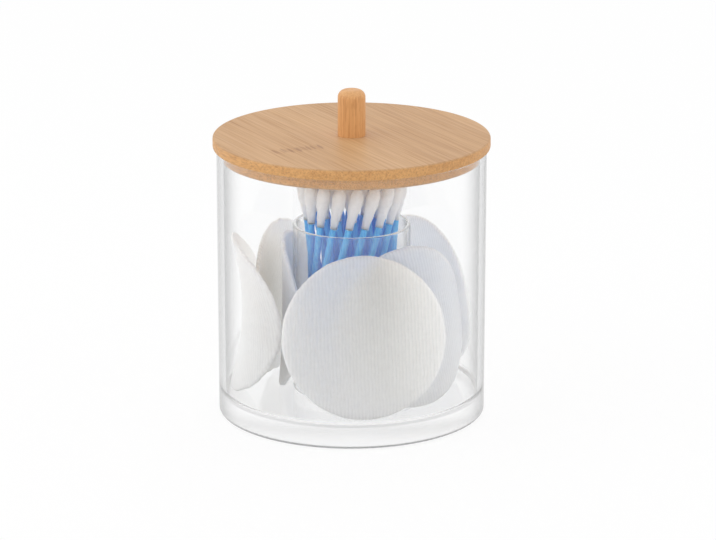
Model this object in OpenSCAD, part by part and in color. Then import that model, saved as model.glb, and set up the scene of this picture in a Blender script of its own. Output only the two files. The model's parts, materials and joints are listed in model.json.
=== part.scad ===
// Clear round canister with a wooden lid. A clear cup in its middle holds cotton swabs, and round
// cotton pads stand around the cup. All lengths are in millimetres and all angles in degrees.
// The canister stands on the plane z = 0 with its axis on Z, and its front faces -Y.

/* [Canister] */
// Outside diameter of the canister
canister_d = 97.4; // [84:0.2:120]
// Height from the foot to the rim
canister_h = 98.5; // [82:0.5:140]
// Thickness of the round wall
canister_wall = 2.4; // [1.6:0.1:4]
// Thickness of the solid base
base_t = 8; // [4:0.5:9]
// Radius of the inner corner between floor and wall
floor_fillet = 2; // [0.5:0.1:3]
// Radius of the outer edge of the foot
foot_round = 0.8; // [0.2:0.1:3]
// Radius of the two edges of the rim
rim_round = 0.5; // [0.1:0.1:0.7]

/* [Lid] */
// How far the disc reaches past the wall of the canister, all round
lid_over = 1.3; // [0.5:0.1:4]
// Thickness of the disc that lies on the rim
lid_t = 4; // [3:0.1:8]
// Depth of the turned plug below the disc
plug_h = 4; // [2:0.1:6]
// Gap between the plug and the inside of the canister, all round
plug_gap = 0.3; // [0.1:0.05:1]
// Radius of the edges of the disc
lid_round = 0.7; // [0.2:0.1:1.4]
// Chamfer on the lower edge of the plug
plug_chamfer = 0.6; // [0.2:0.1:1.5]

/* [Knob] */
// Diameter of the dowel
knob_d = 10; // [6:0.1:20]
// Height of the knob above the lid
knob_h = 16.8; // [8:0.1:30]
// Depth of the glued seat in the lid
knob_seat = 5; // [3:0.1:6]
// Glue gap around the dowel
knob_gap = 0.05; // [0.02:0.01:0.1]
// Radius of the rounded top edge
knob_round = 2.8; // [0.5:0.1:2.9]

/* [Swab cup] */
// Outside diameter of the cup
cup_d = 42.8; // [36:0.2:50]
// Height of the cup
cup_h = 62; // [40:0.5:74]
// Thickness of the wall of the cup
cup_wall = 1.4; // [1:0.1:2]
// Thickness of the floor of the cup
cup_floor = 4.5; // [2:0.1:6]
// Radius of the edges of the cup
cup_round = 0.5; // [0.1:0.1:0.6]
// Radius of the inner corner of the cup
cup_fillet = 1; // [0.5:0.1:2]
// Gap between the cup and the floor that it stands on
cup_seat = 0.1; // [0.05:0.05:0.5]

/* [Swabs] */
// Air between the upper tips and the plug of the lid
swab_air = 4.4; // [2:0.1:16]
// Diameter of the stem
stem_d = 2.4; // [2:0.1:3]
// Diameter of a cotton tip at its thickest
tip_d = 5.3; // [4.4:0.1:6]
// Length of a cotton tip
tip_l = 16; // [10:0.5:20]
// Length of the rounded end of a tip
tip_dome = 4.5; // [3:0.1:7]
// Cotton over the end of the stem
tip_cover = 2; // [1:0.1:3]
// Cotton thickness where a tip ends on the stem
tip_edge = 0.3; // [0.1:0.05:0.6]
// Gap between the wound cotton and the stem
tip_gap = 0.02; // [0.01:0.01:0.05]
// Gap between swabs, where the tips stand closest
swab_gap = 0.3; // [0.1:0.05:1]
// Gap between a swab and the cup that it stands in
swab_seat = 0.2; // [0.1:0.05:0.5]
// Slant of the swabs in the widest ring
swab_slant = 15; // [1:0.5:16]
// How much wider a ring of swabs is at its upper ends than at its lower ends
swab_flare = 1.07; // [1:0.01:1.1]

/* [Cotton pads] */
// Diameter of a pad
pad_d = 59; // [48:0.5:64]
// Thickness of a pad
pad_t = 2.2; // [1.5:0.1:2.6]
// Gap between a pad and the floor that it stands on
pad_seat = 0.25; // [0.1:0.05:0.5]

/* [Hidden] */
$fn = 96;
over = 1;

canister_r = canister_d / 2;
inner_r = canister_r - canister_wall;
lid_r = canister_r + lid_over;
plug_r = inner_r - plug_gap;
lid_top = canister_h + lid_t;
knob_r = knob_d / 2;
cup_r = cup_d / 2;
cup_in_r = cup_r - cup_wall;
stem_r = stem_d / 2;
tip_r = tip_d / 2;
pad_r = pad_d / 2;
pad_gap = inner_r - cup_r;

// The swabs stand in rings, the widest first, each ring one pitch inside the one before it
swab_pitch = tip_d + swab_gap;
swab_rim_r = cup_in_r - tip_r - swab_seat;
ring_count = floor(swab_rim_r / swab_pitch);
swab_floor = base_t + cup_seat + cup_floor + swab_seat;
swab_l = canister_h - plug_h - swab_air - swab_floor;

// The swabs of a ring all cross the axis at a slant, so that the bunch is slimmest at half height and
// spreads at its ends. Every second ring slants the other way.
function ring_r(k) = swab_rim_r - k * swab_pitch;
function ring_slant(k) = asin(sin(swab_slant) * ring_r(k) / swab_rim_r);
function ring_places(k) = floor(180 / asin(swab_pitch / cos(ring_slant(k)) / 2 / ring_r(k)));

// Only tips that stand above the rim of the cup can spread. The slant and the spread give the angle by
// which the upper ends of a ring are turned against its lower ends.
swab_spread = cup_h - cup_floor < (swab_l - tip_l) * cos(swab_slant) ? swab_flare : 1;
swab_run = swab_l * sin(swab_slant) / swab_rim_r;
swab_twist = acos((1 + pow(swab_spread, 2) - pow(swab_run, 2)) / (2 * swab_spread));
function ring_twist(k) = k % 2 == 0 ? swab_twist : -swab_twist;

// Each swab: its ring, and its direction from the front. Those past the named ones share two nodes.
swabs = [for (k = [0:ring_count - 1], j = [0:ring_places(k) - 1]) [k, 360 * j / ring_places(k)]];
swab_named = min(24, len(swabs));
function stem_node(i) = i > swab_named ? "inner_swab_stems" : str("swab_stem_", i);
function tips_node(i) = i > swab_named ? "inner_swab_tips" : str("swab_tips_", i);

// Outline of a tip, from its end to the stem: a half ellipse, then a smooth taper
tip_steps = 5;
taper_steps = 8;
tip_end_r = stem_r + tip_edge;
tip_outline = concat(
    [for (i = [0:tip_steps]) let (a = 90 * i / tip_steps) [tip_r * sin(a), tip_dome * (1 - cos(a))]],
    [for (i = [1:taper_steps]) let (t = i / taper_steps)
        [tip_end_r + (tip_r - tip_end_r) * (1 + cos(180 * t)) / 2, tip_dome + (tip_l - tip_dome) * t]],
    [[0, tip_l]]);

// Each pad: direction from the front, place of its middle and of its side edges between cup (0) and
// wall (1), how far its width turns out, how far its height leans in, how far its upper and lower edge
// curl out, ripple in thicknesses. Turn, lean and curl are in shares of the gap from cup to wall.
pads = [
    [8, 0.466, 0.873, -0.083, 0.573, 0, 0],
    [46, 0.373, 0.495, 0.613, 0.371, 0, 0],
    [132, 0.647, 0.896, 0, 0.33, 0, 0],
    [-86, 0.7, 0.75, -0.26, 0.02, 0.2, 0.1],
    [-123, 0.5, 0.76, -0.42, 0, 0, 0.08],
    [-97, 0.12, 0.4, -0.08, 0.04, 0.04, 0.1]
];
pad_sides = 36;
pad_face_steps = 3;
pad_rim_steps = 3;
pad_rings = concat(
    [for (i = [1:pad_face_steps]) [(pad_r - pad_t / 2) * i / pad_face_steps, 1]],
    [for (i = [1:pad_rim_steps]) let (a = 90 * i / pad_rim_steps)
        [pad_r - pad_t / 2 * (1 - sin(a)), cos(a)]]);
ring_last = len(pad_rings) - 1;
ripple_waves = 1.7;
bend_tries = 6;

// Distance of a pad's middle and side edges from the axis, the bend that joins them, and its angles
function pad_at(p) = cup_r + p[1] * pad_gap;
function pad_edge_at(p) = cup_r + p[2] * pad_gap;
function pad_bend(p, half, tries) =
    let (drop = pad_at(p) - sqrt(max(0, pow(pad_edge_at(p), 2) - pow(half, 2))))
    let (bend = (pow(half, 2) / drop + drop) / 2)
    tries == 0 ? bend : pad_bend(p, bend * sin(pad_r / bend * 180 / PI), tries - 1);
function pad_yaw(p) = asin(p[3] * pad_gap / pad_d);
function pad_lean(p) = asin(p[4] * pad_gap / pad_d);

// A point of a pad: u across and v up in the flat pad, h out of its plane
function pad_bent(p, u, v, h) = let (bend = pad_bend(p, pad_r, bend_tries), turn = u / bend * 180 / PI) [
    bend * sin(turn),
    bend * (cos(turn) - 1) + p[5] * pad_gap * pow(v / pad_r, 2) + h
        + p[6] * pad_t * sin(360 * ripple_waves * (u + v) / pad_d) * (u * u + v * v) / pow(pad_r, 2),
    v];
function pad_tilted(p, q) = [
    q[0],
    q[1] * cos(pad_lean(p)) - q[2] * sin(pad_lean(p)),
    q[2] * cos(pad_lean(p)) + q[1] * sin(pad_lean(p))];
function pad_turned(p, q) = [
    q[0] * cos(pad_yaw(p)) - q[1] * sin(pad_yaw(p)),
    q[0] * sin(pad_yaw(p)) + q[1] * cos(pad_yaw(p)) + pad_at(p),
    q[2]];
function pad_placed(p, q) = [
    q[1] * sin(p[0]) + q[0] * cos(p[0]),
    q[0] * sin(p[0]) - q[1] * cos(p[0]),
    q[2]];
function pad_point(p, r, a, h) =
    pad_placed(p, pad_turned(p, pad_tilted(p, pad_bent(p, r * cos(a), r * sin(a), h))));

// The outer face has rings 0 to ring_last, the inner face rings 0 to ring_last - 1, and each a middle
function pad_points(p) = concat(
    [for (g = pad_rings, j = [0:pad_sides - 1])
        pad_point(p, g[0], 360 * j / pad_sides, g[1] * pad_t / 2)],
    [for (i = [0:ring_last - 1], j = [0:pad_sides - 1])
        pad_point(p, pad_rings[i][0], 360 * j / pad_sides, -pad_rings[i][1] * pad_t / 2)],
    [pad_point(p, 0, 0, pad_t / 2), pad_point(p, 0, 0, -pad_t / 2)]);
function outer_at(i, j) = i * pad_sides + j % pad_sides;
function inner_at(i, j) = i == ring_last ? outer_at(i, j) : (ring_last + 1 + i) * pad_sides + j % pad_sides;
outer_middle = (2 * ring_last + 1) * pad_sides;
inner_middle = outer_middle + 1;
pad_faces = concat(
    [for (j = [0:pad_sides - 1]) [outer_middle, outer_at(0, j + 1), outer_at(0, j)]],
    [for (j = [0:pad_sides - 1]) [inner_middle, inner_at(0, j), inner_at(0, j + 1)]],
    [for (i = [0:ring_last - 1], j = [0:pad_sides - 1]) each [
        [outer_at(i, j), outer_at(i + 1, j + 1), outer_at(i + 1, j)],
        [outer_at(i, j), outer_at(i, j + 1), outer_at(i + 1, j + 1)],
        [inner_at(i, j), inner_at(i + 1, j), inner_at(i + 1, j + 1)],
        [inner_at(i, j), inner_at(i + 1, j + 1), inner_at(i, j + 1)]]]);

// What a round of radius r takes off the corner at the origin of the quarter with x and y below 0
module corner(r) {
    translate([-r, -r])
        difference() {
            square(r + over);
            circle(r);
        }
}

// Half section of a straight-sided vessel: outer radius, height, wall, floor and its three radii
module vessel_section(r, h, wall, floor_t, fillet, foot, rim) {
    difference() {
        square([r, h]);
        difference() {
            translate([0, floor_t])
                square([r - wall, h]);
            translate([r - wall, floor_t])
                mirror([0, 1])
                    corner(fillet);
        }
        translate([r, 0])
            mirror([0, 1])
                corner(foot);
        translate([r, h])
            corner(rim);
        translate([r - wall, h])
            mirror([1, 0])
                corner(rim);
    }
}

// Clear moulded vessel with a thick solid base
module canister() {
    color([0.93, 0.95, 0.96, 0.3])
        rotate_extrude()
            vessel_section(
                canister_r, canister_h, canister_wall, base_t, floor_fillet, foot_round, rim_round);
}

// Clear cup that stands loose in the middle of the canister
module swab_cup() {
    color([0.93, 0.95, 0.96, 0.3])
        translate([0, 0, base_t + cup_seat])
            rotate_extrude()
                vessel_section(cup_r, cup_h, cup_wall, cup_floor, cup_fillet, cup_round, cup_round);
}

// Lid turned from one board: a disc on the rim and a plug in the mouth, with a blind hole for the knob
module lid() {
    color([0.80, 0.62, 0.44])
        difference() {
            rotate_extrude() {
                difference() {
                    translate([0, canister_h])
                        square([lid_r, lid_t]);
                    translate([lid_r, lid_top])
                        corner(lid_round);
                    translate([lid_r, canister_h])
                        mirror([0, 1])
                            corner(lid_round);
                }
                polygon([
                    [0, canister_h - plug_h],
                    [plug_r - plug_chamfer, canister_h - plug_h],
                    [plug_r, canister_h - plug_h + plug_chamfer],
                    [plug_r, canister_h],
                    [0, canister_h]]);
            }
            translate([0, 0, lid_top - knob_seat])
                cylinder(r = knob_r + knob_gap, h = knob_seat + over);
        }
}

// Dowel with a rounded top, glued into the lid
module knob() {
    color([0.82, 0.60, 0.38])
        translate([0, 0, lid_top - knob_seat])
            rotate_extrude()
                difference() {
                    square([knob_r, knob_seat + knob_h]);
                    translate([knob_r, knob_seat + knob_h])
                        corner(knob_round);
                }
}

// Soft round pad that stands on its edge, bent by hand as it was put in
module cotton_pad(p) {
    points = pad_points(p);
    low = min([for (q = points) q[2]]);
    color([0.93, 0.93, 0.92])
        translate([0, 0, base_t + pad_seat - low])
            polyhedron(points, pad_faces);
}

// Stands a child that is upright on the origin at the place of one swab
module at_swab(i) {
    ring = swabs[i][0];
    foot = swabs[i][1];
    head = foot + ring_twist(ring);
    run = ring_r(ring) * [
        swab_spread * sin(head) - sin(foot),
        cos(foot) - swab_spread * cos(head)];
    translate([ring_r(ring) * sin(foot), -ring_r(ring) * cos(foot), swab_floor])
        rotate([0, ring_slant(ring), atan2(run[1], run[0])])
            children();
}

// Plain plastic stem that ends inside both tips
module swab_stem(i) {
    color([0.16, 0.46, 0.78])
        at_swab(i)
            translate([0, 0, tip_cover])
                cylinder(r = stem_r, h = swab_l - 2 * tip_cover);
}

// Wound cotton tip, with its end at the origin and a blind hole for the stem
module swab_tip() {
    difference() {
        rotate_extrude()
            polygon(tip_outline);
        translate([0, 0, tip_cover])
            cylinder(r = stem_r + tip_gap, h = tip_l);
    }
}

// The two tips of one swab
module swab_tips(i) {
    color([0.94, 0.94, 0.93])
        at_swab(i) {
            swab_tip();
            translate([0, 0, swab_l])
                rotate([180, 0, 0])
                    swab_tip();
        }
}

canister();
swab_cup();
lid();
knob();
for (i = [1:len(pads)])
    cotton_pad(pads[i - 1]);
for (i = [1:len(swabs)])
    swab_stem(i - 1);
for (i = [1:len(swabs)])
    swab_tips(i - 1);
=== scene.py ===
import json
import math
from collections import namedtuple

import bmesh
import bpy
import numpy as np
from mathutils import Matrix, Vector, noise

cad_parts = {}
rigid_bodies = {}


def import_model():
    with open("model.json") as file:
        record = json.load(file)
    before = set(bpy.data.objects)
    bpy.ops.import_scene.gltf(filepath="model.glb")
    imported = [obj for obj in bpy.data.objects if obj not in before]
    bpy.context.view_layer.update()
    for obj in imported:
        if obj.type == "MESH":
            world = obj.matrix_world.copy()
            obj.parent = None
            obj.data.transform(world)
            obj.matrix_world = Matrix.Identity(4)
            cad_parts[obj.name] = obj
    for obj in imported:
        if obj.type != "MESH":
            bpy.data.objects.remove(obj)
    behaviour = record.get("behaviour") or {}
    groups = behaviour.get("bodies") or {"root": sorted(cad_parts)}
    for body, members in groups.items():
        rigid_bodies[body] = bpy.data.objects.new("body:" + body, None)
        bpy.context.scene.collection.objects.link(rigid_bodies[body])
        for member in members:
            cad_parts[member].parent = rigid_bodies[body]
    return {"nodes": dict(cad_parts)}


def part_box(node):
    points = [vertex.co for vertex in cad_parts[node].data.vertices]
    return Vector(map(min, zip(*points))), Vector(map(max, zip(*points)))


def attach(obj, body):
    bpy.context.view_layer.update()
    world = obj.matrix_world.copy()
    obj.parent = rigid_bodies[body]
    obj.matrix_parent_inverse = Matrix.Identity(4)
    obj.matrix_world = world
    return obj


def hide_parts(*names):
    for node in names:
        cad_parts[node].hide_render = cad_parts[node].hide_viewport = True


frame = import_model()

# What Blender starts with isn't part of the object.
for name in ("Cube", "Light", "Camera"):
    if name in bpy.data.objects and name not in frame["nodes"]:
        bpy.data.objects.remove(bpy.data.objects[name])
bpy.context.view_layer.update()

NODES = frame["nodes"]
PADS = [n for n in NODES if n.startswith("cotton_pad_")]
TIPS = [n for n in NODES if "swab_tips" in n]
STEMS = [n for n in NODES if "swab_stem" in n]

# Sizes in millimetres, as in the part's source: the canister's base and wall, and a pad
MM = 0.001
BASE_T = 8.0
WALL = 2.4
PAD_R, PAD_T = 29.5, 2.2
# Ribs that are pressed into the pads
RIB_PITCH = 1.25
RIB_DEPTH = 0.09


# Shader helpers

def srgb(red, green, blue):
    """A colour as it is read off a screen, as linear light."""
    def linear(c):
        c /= 255
        return c / 12.92 if c <= 0.04045 else ((c + 0.055) / 1.055) ** 2.4
    return (linear(red), linear(green), linear(blue), 1.0)


class Nodes:
    """Short names for the nodes of a tree. A value is a number, a colour or another node's socket."""

    def __init__(self, tree):
        self.tree = tree

    def put(self, socket, value):
        if isinstance(value, bpy.types.NodeSocket):
            self.tree.links.new(value, socket)
        else:
            socket.default_value = value

    def node(self, kind, inputs, **settings):
        made = self.tree.nodes.new(kind)
        for key, value in settings.items():
            setattr(made, key, value)
        for key, value in inputs.items():
            self.put(made.inputs[key], value)
        return made

    def math(self, operation, *values):
        return self.node("ShaderNodeMath", dict(enumerate(values)), operation=operation).outputs[0]

    def chain(self, operation, first, *others):
        for other in others:
            first = self.math(operation, first, other)
        return first

    def plus(self, *values):
        return self.chain("ADD", *values)

    def minus(self, a, b):
        return self.math("SUBTRACT", a, b)

    def times(self, *values):
        return self.chain("MULTIPLY", *values)

    def most(self, *values):
        return self.chain("MAXIMUM", *values)

    def size(self, value):
        return self.math("ABSOLUTE", value)

    def mix(self, factor, a, b, blend="MIX"):
        # 6, 7 and 2 are the Mix node's sockets for colours.
        made = self.node("ShaderNodeMix", {0: factor, 6: a, 7: b}, data_type="RGBA", blend_type=blend)
        return made.outputs[2]

    def fit(self, value, low, high, to_low=0.0, to_high=1.0):
        """A smooth step from low to high."""
        inputs = {"Value": value, "From Min": low, "From Max": high, "To Min": to_low, "To Max": to_high}
        return self.node("ShaderNodeMapRange", inputs, interpolation_type="SMOOTHSTEP").outputs[0]

    def split(self, vector):
        return self.node("ShaderNodeSeparateXYZ", {0: vector}).outputs

    def join(self, x, y, z):
        return self.node("ShaderNodeCombineXYZ", {0: x, 1: y, 2: z}).outputs[0]

    def noise(self, vector, scale, detail=3.0, roughness=0.55):
        inputs = {"Vector": vector, "Scale": scale, "Detail": detail, "Roughness": roughness}
        return self.node("ShaderNodeTexNoise", inputs).outputs[0]

    def is_seen(self):
        """1 for a ray that shows a background: straight to the camera, through the plastic or off it.
        A ray that lights a matt surface gets 0, through the plastic too."""
        path = self.node("ShaderNodeLightPath", {}).outputs
        seen = self.most(path["Is Camera Ray"], path["Is Glossy Ray"], path["Is Transmission Ray"])
        return self.math("GREATER_THAN", seen, path["Diffuse Depth"])


class Shader(Nodes):
    """A material with one Principled shader."""

    def __init__(self, name):
        self.material = bpy.data.materials.new(name)
        self.material.use_nodes = True
        super().__init__(self.material.node_tree)
        self.tree.nodes.clear()
        self.out = self.node("ShaderNodeOutputMaterial", {})
        self.bsdf = self.node("ShaderNodeBsdfPrincipled", {})
        self.put(self.out.inputs["Surface"], self.bsdf.outputs[0])

    def set(self, **values):
        for key, value in values.items():
            self.put(self.bsdf.inputs[key.replace("_", " ")], value)

    def place(self, rotation=(0, 0, 0)):
        """The object's own coordinates, in millimetres."""
        coords = self.node("ShaderNodeTexCoord", {}).outputs["Object"]
        inputs = {"Vector": coords, "Rotation": rotation, "Scale": (1 / MM,) * 3}
        return self.node("ShaderNodeMapping", inputs).outputs[0]

    def bump(self, height, strength, distance):
        inputs = {"Height": height, "Strength": strength, "Distance": distance}
        self.put(self.bsdf.inputs["Normal"], self.node("ShaderNodeBump", inputs).outputs[0])


# The clear plastic's tints, and how grey the painted shadow at its foot and the painted shade at the corner
# round its inner floor are
CLEAR, GREY = (0.995, 0.997, 0.998, 1), (0.08, 0.083, 0.087, 1)
FOOT_SHADOW_GREY, CORNER_SHADE_GREY = 0.9, 0.4
# Where the painted grey begins and where it is full, in millimetres: above the ground, and off the corner's
# middle
FOOT_SHADOW_FADE = (1.25, 0.8)
CORNER_SHADE_FADE, CORNER_MIDDLE = (0.7, 0.3), BASE_T + 0.5
# The same for the dull rim, below the top
RIM_FADE = (0.9, 0.4)
SMUDGE_ROUGH, RIM_ROUGH, UNDERSIDE_ROUGH = 0.03, 0.15, 0.16
PLASTIC_IOR = 1.49


def clear_plastic(name, top):
    """Clear moulded plastic. Its walls are greyer seen along their surface, partly where the light goes
    through more of them and partly as painted shade for dark surroundings seen through their edges. A
    painted contact shadow greys the foot, and a painted band of shade greys the corner round the inner
    floor. The underside is dull, and so is the rim at the given height."""
    s = Shader(name)
    place = s.place()
    height = s.split(place)[2]
    # Seen from inside the plastic, Normal is turned round, and this turns it back.
    geometry = s.node("ShaderNodeNewGeometry", {}).outputs
    outward = s.minus(1.0, s.times(geometry["Backfacing"], 2.0))
    up = s.times(s.split(geometry["Normal"])[2], outward)
    under = s.fit(up, -0.7, -0.95)
    upright = s.fit(s.size(up), 0.4, 0.0)
    # Seen along their surface the walls turn grey: partly the longer path through the plastic, partly
    # painted shade for dark surroundings seen through their edges.
    facing = s.node("ShaderNodeLayerWeight", {"Blend": 0.5}).outputs["Facing"]
    # Painted shade: a grey band round the corner of the inner floor, on upright faces.
    corner_shade = s.fit(s.size(s.minus(height, CORNER_MIDDLE)), *CORNER_SHADE_FADE, 0.0, CORNER_SHADE_GREY)
    wall = s.times(s.most(s.fit(facing, 0.45, 1.0), corner_shade), upright)
    # Painted contact shadow: grey on the foot just above the ground, but not on the underside.
    foot_shadow = s.times(s.fit(height, *FOOT_SHADOW_FADE, 0.0, FOOT_SHADOW_GREY), s.minus(1.0, under))
    smudge = s.fit(s.noise(place, scale=0.06, detail=4.0), 0.45, 0.75, 0.0, SMUDGE_ROUGH)
    rim = s.fit(height, top - RIM_FADE[0], top - RIM_FADE[1], 0.0, RIM_ROUGH)
    s.set(Base_Color=s.mix(s.most(wall, foot_shadow), CLEAR, GREY),
          IOR=PLASTIC_IOR, Transmission_Weight=1.0,
          Roughness=s.most(smudge, rim, s.times(under, UNDERSIDE_ROUGH)))
    return s.material


# How much each pattern darkens bamboo: fibres, veins, the strips' own tones and clouds
FIBRE_DEPTH, VEIN_DEPTH, STRIP_DEPTH, CLOUD_DEPTH = 0.42, 0.38, 0.22, 0.35
# How far the pattern is shifted from strip to strip, in millimetres
STRIP_OFFSET = 900.0
# How far a knuckle's dashes are spread along the grain and where each begins and is full, in millimetres
# off its middle, and how dark they are
KNUCKLE_SPREAD, KNUCKLE_FADE, KNUCKLE_DARK = 12.0, (3.4, 1.4), 0.6
# How dark the dots on a cut edge are
DOT_DARK = 0.5


def bamboo(name, rotation, light, dark, edge, strip_width, strip_shift, knuckle=None):
    """Laminated bamboo: strips side by side, fibres along them, and a knuckle across one strip."""
    s = Shader(name)
    along, across, up = s.split(s.place(rotation))
    strip = s.math("FLOOR", s.math("DIVIDE", s.plus(across, strip_shift), strip_width))
    tone = s.node("ShaderNodeTexWhiteNoise", {"W": strip}, noise_dimensions="1D").outputs["Value"]
    shifted = s.plus(along, s.times(tone, STRIP_OFFSET))

    def drawn_out(way, share):
        """Coordinates that draw a pattern out along the strips."""
        return s.join(s.times(way, share), across, up)

    fibres = s.noise(drawn_out(shifted, 0.02), scale=1.1, detail=4.0, roughness=0.6)
    veins = s.noise(drawn_out(shifted, 0.008), scale=3.2, detail=2.0, roughness=0.5)
    cloud = s.noise(drawn_out(shifted, 0.15), scale=0.09, detail=2.0)
    depth = s.plus(s.times(s.fit(fibres, 0.3, 0.7), FIBRE_DEPTH),
                   s.times(s.fit(veins, 0.5, 0.72), VEIN_DEPTH),
                   s.times(tone, STRIP_DEPTH),
                   s.times(s.minus(cloud, 0.5), CLOUD_DEPTH))
    colour = s.mix(s.math("MINIMUM", s.most(depth, 0.0), 1.0), light, dark)
    if knuckle:
        # At a knuckle the fibres end unevenly, so it is a row of short dark dashes along the grain.
        middle, number, tint = knuckle
        line = s.join(0.0, across, up)
        ends = s.minus(s.noise(line, scale=0.9, detail=3.0, roughness=0.7), 0.5)
        off = s.plus(s.minus(along, middle), s.times(ends, KNUCKLE_SPREAD))
        gaps = s.fit(s.noise(line, scale=1.3, detail=1.0), 0.42, 0.6)
        on_strip = s.math("COMPARE", strip, number, 0.1)
        dashes = s.times(s.fit(s.size(off), *KNUCKLE_FADE), gaps, on_strip, KNUCKLE_DARK)
        colour = s.mix(dashes, colour, tint)
    # Cut edges show the ends of the fibres, which are tinted and dotted.
    normal = s.node("ShaderNodeNewGeometry", {}).outputs["Normal"]
    side = s.fit(s.size(s.split(normal)[2]), 0.7, 0.3)
    dots = s.fit(s.noise(drawn_out(along, 0.1), scale=1.7, detail=2.0), 0.5, 0.64)
    cut = s.mix(s.times(dots, DOT_DARK), s.mix(1.0, colour, edge, "MULTIPLY"), dark)
    s.set(Base_Color=s.mix(side, colour, cut),
          Roughness=s.fit(veins, 0.3, 0.7, 0.42, 0.58), Specular_IOR_Level=0.4)
    s.bump(s.plus(fibres, veins), strength=0.25, distance=0.06 * MM)
    return s.material


def stem_plastic():
    """Blue plastic with faint lines along the stem."""
    s = Shader("stem_blue_plastic")
    place = s.place()
    x, y, z = s.split(place)
    lines = s.noise(s.join(x, y, s.times(z, 0.03)), scale=2.2, detail=2.0)
    s.set(Base_Color=s.mix(s.fit(lines, 0.3, 0.7), srgb(48, 164, 240), srgb(100, 198, 250)),
          Roughness=s.fit(s.noise(place, scale=0.8), 0.3, 0.7, 0.28, 0.42))
    s.bump(lines, strength=0.15, distance=0.04 * MM)
    return s.material


# A pad's colour is mixed from its cotton and its ribs, whose darker valleys are partly pressed cotton and
# partly painted shade of the grooves. Relief is given in shares of that of the fibres.
COTTON_SHADE, RIB_SHADE = 0.4, 0.6
CLUMP_RELIEF, RIB_RELIEF = 0.6, 1.2
# How far the ribs wander, in millimetres
RIB_WANDER = 0.9


def cotton(name, light, dark, fibre_scale, strength, ribs=None):
    """Matted cotton: mottled white with short fibres that lie in all directions. A pad has pressed ribs as
    well, in the direction and with the turn that are given in degrees."""
    s = Shader(name)
    place = s.place()
    clumps = s.noise(place, scale=0.55, detail=3.0)
    drift = s.node("ShaderNodeTexNoise", {"Vector": place, "Scale": 0.9, "Detail": 2.0}).outputs["Color"]
    bent = s.node("ShaderNodeVectorMath", {0: place, 1: drift}, operation="ADD").outputs[0]
    fibres = s.noise(bent, fibre_scale, detail=4.0, roughness=0.7)
    shade = s.fit(s.plus(clumps, fibres), 0.7, 1.3)
    height = s.plus(fibres, s.times(clumps, CLUMP_RELIEF))
    if ribs:
        azimuth, turn = (math.radians(angle) for angle in ribs)
        inputs = {"Vector": s.place((0, 0, -azimuth)), "Rotation": (0, turn, 0)}
        turned = s.node("ShaderNodeMapping", inputs).outputs[0]
        wander = s.times(s.noise(place, scale=0.25, detail=2.0), RIB_WANDER)
        across = s.plus(s.split(turned)[0], wander)
        # The valleys between ribs are darker in colour: partly the pressed cotton, partly painted shade of
        # the grooves.
        rib = s.fit(s.math("SINE", s.times(across, 2 * math.pi / RIB_PITCH)), -1.0, 1.0)
        shade = s.plus(s.times(shade, COTTON_SHADE), s.times(rib, RIB_SHADE))
        height = s.plus(height, s.times(rib, RIB_RELIEF))
    s.set(Base_Color=s.mix(shade, dark, light),
          Roughness=s.fit(fibres, 0.3, 0.7, 0.88, 1.0), Specular_IOR_Level=0.1,
          Subsurface_Weight=1.0, Subsurface_Radius=(1.0, 1.0, 1.0), Subsurface_Scale=0.014,
          Sheen_Weight=0.25, Sheen_Roughness=0.5)
    s.bump(height, strength, distance=0.2 * MM)
    return s.material


# Materials of the CAD nodes that keep their shape

GRAIN_TURN = math.radians(62)
UPRIGHT_GRAIN = math.radians(90)
CANISTER_PLASTIC = clear_plastic("canister_plastic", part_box("canister")[1].z / MM)
CUP_PLASTIC = clear_plastic("cup_plastic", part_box("swab_cup")[1].z / MM)
LID_WOOD = bamboo("lid_bamboo", (0, 0, GRAIN_TURN), srgb(208, 166, 120), srgb(168, 122, 77),
                  edge=(1.16, 1.06, 0.84, 1), strip_width=20.0, strip_shift=36.4,
                  knuckle=(9.2, 0.0, srgb(140, 92, 54)))
KNOB_WOOD = bamboo("knob_bamboo", (0, UPRIGHT_GRAIN, 0), srgb(232, 180, 124), srgb(196, 138, 84),
                   edge=(1.03, 1.0, 0.94, 1), strip_width=6.0, strip_shift=2.0)
STEM_BLUE = stem_plastic()
TIP_COTTON = cotton("tip_cotton_wound", srgb(252, 252, 251), srgb(244, 244, 243),
                    fibre_scale=2.0, strength=0.3)


def dress(node, material):
    for slot in NODES[node].material_slots:
        slot.material = material


dress("canister", CANISTER_PLASTIC)
dress("swab_cup", CUP_PLASTIC)
dress("lid", LID_WOOD)
dress("knob", KNOB_WOOD)
for name in STEMS:
    dress(name, STEM_BLUE)


# Soft pieces

def mesh_object(name, points, faces, material):
    """A smooth closed mesh from points in metres. Points that meet are joined."""
    mesh = bpy.data.meshes.new(name)
    mesh.from_pydata([tuple(p) for p in points], [], faces)
    work = bmesh.new()
    work.from_mesh(mesh)
    bmesh.ops.remove_doubles(work, verts=work.verts, dist=1e-6)
    bmesh.ops.dissolve_degenerate(work, edges=work.edges, dist=1e-7)
    bmesh.ops.recalc_face_normals(work, faces=work.faces)
    for face in work.faces:
        face.smooth = True
    work.to_mesh(mesh)
    work.free()
    mesh.materials.append(material)
    made = bpy.data.objects.new(name, mesh)
    bpy.context.scene.collection.objects.link(made)
    return made


def soft(made, node):
    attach(made, "canister")
    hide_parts(node)


def wave(points, seed):
    """Smooth noise from -1 to 1 at each row of points."""
    return np.array([noise.noise(Vector((float(p[0]), float(p[1]), float(p[2]) + seed))) for p in points])


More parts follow.
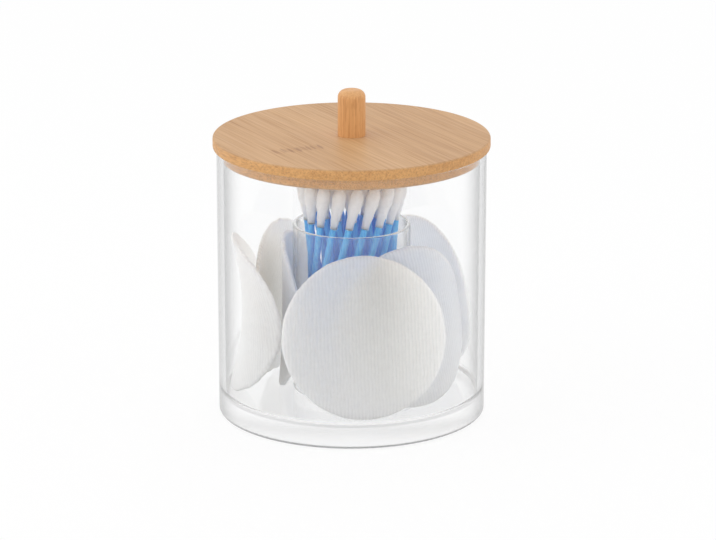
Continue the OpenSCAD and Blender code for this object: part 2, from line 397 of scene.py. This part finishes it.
# Each pad, as in the part's source: direction from the front in degrees, place of its middle and of its
# side edges between cup and wall, turn, lean, curl and ripple. The last value turns its embossed ribs.
Pad = namedtuple("Pad", "azimuth place edge turn lean curl ripple rib_turn")
PAD_ROWS = {
    "cotton_pad_1": Pad(8, 0.466, 0.873, -0.083, 0.573, 0, 0, 0),
    "cotton_pad_2": Pad(46, 0.373, 0.495, 0.613, 0.371, 0, 0, 6),
    "cotton_pad_3": Pad(132, 0.647, 0.896, 0, 0.33, 0, 0, -9),
    "cotton_pad_4": Pad(-86, 0.7, 0.75, -0.26, 0.02, 0.2, 0.1, 12),
    "cotton_pad_5": Pad(-123, 0.5, 0.76, -0.42, 0, 0, 0.08, -20),
    "cotton_pad_6": Pad(-97, 0.12, 0.4, -0.08, 0.04, 0.04, 0.1, 30),
}
CUP_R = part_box("swab_cup")[1].x / MM
INNER_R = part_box("canister")[1].x / MM - WALL
PAD_GAP = INNER_R - CUP_R
# Steps that find a pad's bend, and waves of its ripple across it
BEND_STEPS = 7
RIPPLE_WAVES = 1.7
# The pads at left are worn: how far their edges are torn in, in millimetres, and the noise that does it,
# by its seed and scale
PAD_TEAR = {"cotton_pad_4": 0.8, "cotton_pad_5": 1.5, "cotton_pad_6": 1.5}
TEAR_NOISE = (3, 1.3)
# Noise that roughens a pad's edge and its faces: seed, scale, and depth in millimetres
EDGE_NOISE = ((0, 1.0, 0.35), (0, 5.0, 0.2))
LUMP_NOISE = ((0, 0.12, 0.16), (5, 0.5, 0.08))
# Radius of the circle along which the edge's noise is read, and how steeply it dies away inwards
EDGE_NOISE_R, EDGE_NOISE_POWER = 6, 8
# Widths of the rounded edge and of the margin in which ribs and lumps fade, in millimetres, and the share
# of its thickness that a pad loses towards the edge
PAD_EDGE, PAD_MARGIN, PAD_THINNING = 1.7, 3.0, 0.10
# How far the seeds of two pads lie apart
PAD_SEED = 17.0


def pad_surface(pad, u, v, h):
    """Points of a pad in millimetres: u across and v up in the flat pad, h out of its plane."""
    middle = CUP_R + pad.place * PAD_GAP
    half = PAD_R
    for _ in range(BEND_STEPS):
        drop = middle - math.sqrt(max(0, (CUP_R + pad.edge * PAD_GAP) ** 2 - half ** 2))
        bend = (half ** 2 / drop + drop) / 2
        half = bend * math.sin(PAD_R / bend)
    x = bend * np.sin(u / bend)
    waves = np.sin(2 * math.pi * RIPPLE_WAVES * (u + v) / (2 * PAD_R))
    y = (bend * (np.cos(u / bend) - 1) + pad.curl * PAD_GAP * (v / PAD_R) ** 2 + h
         + pad.ripple * PAD_T * waves * (u * u + v * v) / PAD_R ** 2)
    tilt = math.asin(pad.lean * PAD_GAP / (2 * PAD_R))
    yaw = math.asin(pad.turn * PAD_GAP / (2 * PAD_R))
    round_z = math.radians(pad.azimuth)
    y, z = y * math.cos(tilt) - v * math.sin(tilt), v * math.cos(tilt) + y * math.sin(tilt)
    x, y = x * math.cos(yaw) - y * math.sin(yaw), x * math.sin(yaw) + y * math.cos(yaw) + middle
    return np.stack([y * math.sin(round_z) + x * math.cos(round_z),
                     x * math.sin(round_z) - y * math.cos(round_z), z], axis=-1)


def make_pad(node, number):
    """A felted pad on the surface that its CAD solid follows, with its ribs, lumps and uneven edge."""
    pad = PAD_ROWS[node]
    columns, rows = ((300, 40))
    theta = np.linspace(-math.pi / 2, math.pi / 2, columns + 1)
    phi = np.linspace(-math.pi / 2, math.pi / 2, rows + 1)
    p = (PAD_R * np.sin(theta))[:, None] * np.ones(rows + 1)
    q = (PAD_R * np.cos(theta))[:, None] * np.sin(phi)[None, :]
    r = np.sqrt(p * p + q * q)
    angle = np.arctan2(q, p)
    flat = np.stack([p.ravel(), q.ravel(), np.zeros(p.size)], axis=-1)
    ring = np.stack([EDGE_NOISE_R * np.cos(angle).ravel(), EDGE_NOISE_R * np.sin(angle).ravel(),
                     np.zeros(p.size)], axis=-1)
    seed = PAD_SEED * number

    def uneven(at, shift):
        """Smooth noise from 0 to 1 over the pad's grid."""
        return (0.5 + 0.5 * wave(at, seed + shift)).reshape(p.shape)

    # The edge is cut a little unevenly, and the pad thins out towards it.
    tear = (*TEAR_NOISE, PAD_TEAR.get(node, 0))
    ragged = sum(uneven(ring * scale, shift) * depth for shift, scale, depth in (*EDGE_NOISE, tear))
    shrink = 1 - ragged / PAD_R * (r / PAD_R) ** EDGE_NOISE_POWER
    edge = np.clip((r - (PAD_R - PAD_EDGE)) / PAD_EDGE, 0, 1)
    thick = PAD_T / 2 * np.sqrt(np.maximum(1 - edge ** 2, 0)) * (1 - PAD_THINNING * (r / PAD_R) ** 3)
    fade = np.clip((PAD_R - r) / PAD_MARGIN, 0, 1)
    ribs = RIB_DEPTH * (0.5 - 0.5 * np.cos(2 * math.pi * p / RIB_PITCH)) * fade
    turn = math.radians(pad.rib_turn)
    u = (p * math.cos(turn) - q * math.sin(turn)) * shrink
    v = (p * math.sin(turn) + q * math.cos(turn)) * shrink
    points, faces = [], []
    for side in (1, -1):
        lumps = sum(uneven(flat * scale, shift + side) * depth * fade for shift, scale, depth in LUMP_NOISE)
        h = side * np.maximum(thick - ribs - lumps, 0)
        start = len(points)
        points.extend(pad_surface(pad, u, v, h).reshape(-1, 3))
        for i in range(columns):
            for j in range(rows):
                a = start + i * (rows + 1) + j
                faces.append((a, a + rows + 1, a + rows + 2, a + 1))
    points = np.array(points)
    points[:, 2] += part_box(node)[0].z / MM - points[:, 2].min()
    felt = cotton(f"{node}_felted", srgb(249, 249, 247), srgb(236, 236, 234),
                  fibre_scale=2.4, strength=0.2, ribs=(pad.azimuth, pad.rib_turn))
    made = mesh_object(f"{node}_felt", points * MM, faces, felt)
    soft(made, node)


for number, name in enumerate(PADS):
    make_pad(name, number)


def solids_of(node):
    """The points of each separate solid in a node."""
    work = bmesh.new()
    work.from_mesh(NODES[node].data)
    bmesh.ops.remove_doubles(work, verts=work.verts, dist=1e-7)
    seen, solids = set(), []
    for first in work.verts:
        if first.index in seen:
            continue
        seen.add(first.index)
        open_ends, points = [first], []
        while open_ends:
            vert = open_ends.pop()
            points.append(tuple(vert.co))
            for edge in vert.link_edges:
                other = edge.other_vert(vert)
                if other.index not in seen:
                    seen.add(other.index)
                    open_ends.append(other)
        solids.append(np.array(points))
    work.free()
    return solids


def stem_line(points):
    """Middle of a stem, and its direction."""
    upper = points[:, 2] > points[:, 2].mean()
    low, high = points[~upper].mean(0), points[upper].mean(0)
    return (low + high) / 2, (high - low) / np.linalg.norm(high - low)


STEM_LINES = [stem_line(points) for name in STEMS for points in solids_of(name)]
# A tip's form, in shares: the length of its round end, and its radius at the stem
TIP_DOME, TIP_NECK = 0.28, 0.56
# Its mean radius, and how far lumps, winding ridges and fuzz move it in and out
TIP_MEAN, TIP_LUMPS, TIP_RIDGES, TIP_FUZZ = 0.91, 0.12, 0.03, 0.05
# Ridges side by side round a tip, and how far they wind from end to end, in radians
TIP_STARTS, TIP_WINDING = 3, 22
# The noise on it: size of the cylinder on which it is read, scales and shares of lumps, scale of fuzz
NOISE_R, NOISE_LENGTH = 1.6, 7
LUMP_LAYERS = ((1.0, 0.6), (2.9, 0.4))
FUZZ_SCALE = 6
# How much closer its rings lie at the round end, and how fast ridges and fuzz come in from there
RING_POWER, RELIEF_RISE = 1.35, 4
# How far the seeds of two nodes lie apart, and those of two tips in a node
NODE_SEED, TIP_SEED = 31.0, 7.0


def off_line(points, line):
    """Distance along a line and away from it."""
    along = (points - line[0]) @ line[1]
    return along, np.linalg.norm(points - line[0] - np.outer(along, line[1]), axis=1)


def tip_radius(t):
    """Share of the full radius at a share of a tip's length: a round end, then a taper to the stem."""
    if t < TIP_DOME:
        return math.sqrt(max(1 - (1 - t / TIP_DOME) ** 2, 0))
    part = (t - TIP_DOME) / (1 - TIP_DOME)
    return TIP_NECK + (1 - TIP_NECK) * (1 + math.cos(math.pi * part)) / 2


def tip_mesh(solid, seed):
    """A wound cotton tip as long and thick as its CAD solid, with lumps and soft slanting ridges."""
    line = min(STEM_LINES, key=lambda one: off_line(solid.mean(0)[None], one)[1][0])
    along, away = off_line(solid, line)
    base, axis = line
    upper = along.mean() > 0
    end, way = (along.max(), -1) if upper else (along.min(), 1)
    length, thick = np.ptp(along), away.max()
    side = np.cross(axis, (1.0, 0.0, 0.0))
    side /= np.linalg.norm(side)
    other = np.cross(axis, side)
    around, steps = ((36, 44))
    points, faces = [], []
    for i in range(steps + 1):
        t = (i / steps) ** RING_POWER
        come_in = min(1.0, RELIEF_RISE * t)
        centre = base + axis * (end + way * length * t)
        for a in np.linspace(0, 2 * math.pi, around, endpoint=False):
            spot = Vector((NOISE_R * math.cos(a), NOISE_R * math.sin(a), NOISE_LENGTH * t + seed))
            lump = sum(noise.noise(spot * scale) * share for scale, share in LUMP_LAYERS)
            ridge = math.sin(TIP_STARTS * a + TIP_WINDING * t + seed)
            fine = TIP_RIDGES * ridge + TIP_FUZZ * noise.noise(spot * FUZZ_SCALE)
            scale = tip_radius(t) * (TIP_MEAN + TIP_LUMPS * lump + fine * come_in)
            points.append(centre + (side * math.cos(a) + other * math.sin(a)) * thick * min(scale, 1.0))
    for i in range(steps):
        for j in range(around):
            k = (j + 1) % around
            faces.append((i * around + j, i * around + k, (i + 1) * around + k, (i + 1) * around + j))
    faces.append(tuple(steps * around + j for j in range(around)))
    return points, faces


def make_tips(node, number):
    points, faces = [], []
    for i, solid in enumerate(solids_of(node)):
        more, sides = tip_mesh(solid, NODE_SEED * number + TIP_SEED * i)
        faces += [tuple(k + len(points) for k in face) for face in sides]
        points += more
    made = mesh_object(f"{node}_cotton", points, faces, TIP_COTTON)
    soft(made, node)


for number, name in enumerate(TIPS):
    make_tips(name, number)


# Floor, light and camera, in metres. Only the sensor and the focal length are in millimetres.

# The floor lies just below the foot. Its glow is a share of what is seen of it.
FLOOR_REACH, FLOOR_Z = 8.0, -0.0003
FLOOR_GLOW = 0.88
# The world's light from the sides, and how much it grows to the back and falls to the front
AMBIENT, BEHIND = 1.0, 0.25
# What the camera and the lamps look at
AIM = Vector((0, 0, 0.05))
# The camera, and the pixel of the photograph that its axis goes through
PHOTO_SIZE, AXIS_PIXEL = (716, 540), (351.6, 274.7)
CAMERA_LIFT, CAMERA_DISTANCE = math.radians(16.76), 1.18
SENSOR, FOCAL_LENGTH = 36.0, 162.9


def floor():
    """A white floor. What is seen of it glows for the most part, so that a trace of the shadow stays."""
    s = Shader("floor_white")
    s.set(Base_Color=(0.9, 0.9, 0.9, 1), Roughness=0.8, Specular_IOR_Level=0.1)
    glow = s.node("ShaderNodeEmission", {"Strength": 1.0}).outputs[0]
    share = s.times(s.is_seen(), FLOOR_GLOW)
    both = s.node("ShaderNodeMixShader", {0: share, 1: s.bsdf.outputs[0], 2: glow}).outputs[0]
    s.put(s.out.inputs["Surface"], both)
    ways = ((-1, -1), (1, -1), (1, 1), (-1, 1))
    corners = [(x * FLOOR_REACH, y * FLOOR_REACH, FLOOR_Z) for x, y in ways]
    mesh = bpy.data.meshes.new("floor")
    mesh.from_pydata(corners, [], [(0, 1, 2, 3)])
    mesh.materials.append(s.material)
    made = bpy.data.objects.new("floor", mesh)
    bpy.context.scene.collection.objects.link(made)


def world():
    """White where it is seen. Its light is a little stronger from behind, where a backdrop would be."""
    made = bpy.data.worlds.new("studio")
    made.use_nodes = True
    bpy.context.scene.world = made
    w = Nodes(made.node_tree)
    way = w.split(w.node("ShaderNodeTexCoord", {}).outputs["Generated"])
    light = w.math("MULTIPLY_ADD", way["Y"], BEHIND, AMBIENT)
    level = w.node("ShaderNodeMapRange", {"Value": w.is_seen(), "To Min": light}).outputs[0]
    back = w.tree.nodes["Background"]
    w.put(back.inputs["Color"], level)
    w.put(back.inputs["Strength"], 1.0)


def softbox(name, place, size, radiance):
    """A flat lamp that faces the object. Its power gives it the wanted brightness."""
    light = bpy.data.lights.new(name, "AREA")
    light.shape = "RECTANGLE"
    light.size, light.size_y = size
    light.energy = radiance * math.pi * size[0] * size[1]
    made = bpy.data.objects.new(name, light)
    made.location = place
    made.rotation_euler = (AIM - Vector(place)).to_track_quat("-Z", "Y").to_euler()
    bpy.context.scene.collection.objects.link(made)


def camera():
    made = bpy.data.objects.new("camera", bpy.data.cameras.new("camera"))
    width, height = PHOTO_SIZE
    made.data.sensor_width = SENSOR
    made.data.lens = FOCAL_LENGTH
    made.data.shift_x = (width / 2 - AXIS_PIXEL[0]) / width
    made.data.shift_y = (AXIS_PIXEL[1] - height / 2) / width
    made.location = AIM + CAMERA_DISTANCE * Vector((0, -math.cos(CAMERA_LIFT), math.sin(CAMERA_LIFT)))
    made.rotation_euler = (math.radians(90) - CAMERA_LIFT, 0, 0)
    bpy.context.scene.collection.objects.link(made)
    bpy.context.scene.camera = made


floor()
world()
softbox("softbox_left", (-1.0, -0.35, 0.6), (1.0, 1.0), radiance=0.8)
softbox("softbox_right", (1.0, -0.35, 0.6), (1.0, 1.0), radiance=0.3)
camera()
bpy.context.scene.view_settings.view_transform = "Standard"
# Light reaches the cotton through two walls of plastic and then goes on from pad to pad. What enters a
# rim runs down inside the wall, from side to side, and leaves through the base. Filter Glossy, which is
# off here, would darken all that is lit through the plastic.
cycles = bpy.context.scene.cycles
cycles.max_bounces = 128
cycles.transmission_bounces = 128
cycles.glossy_bounces = 128
cycles.diffuse_bounces = 16
cycles.blur_glossy = 0.0
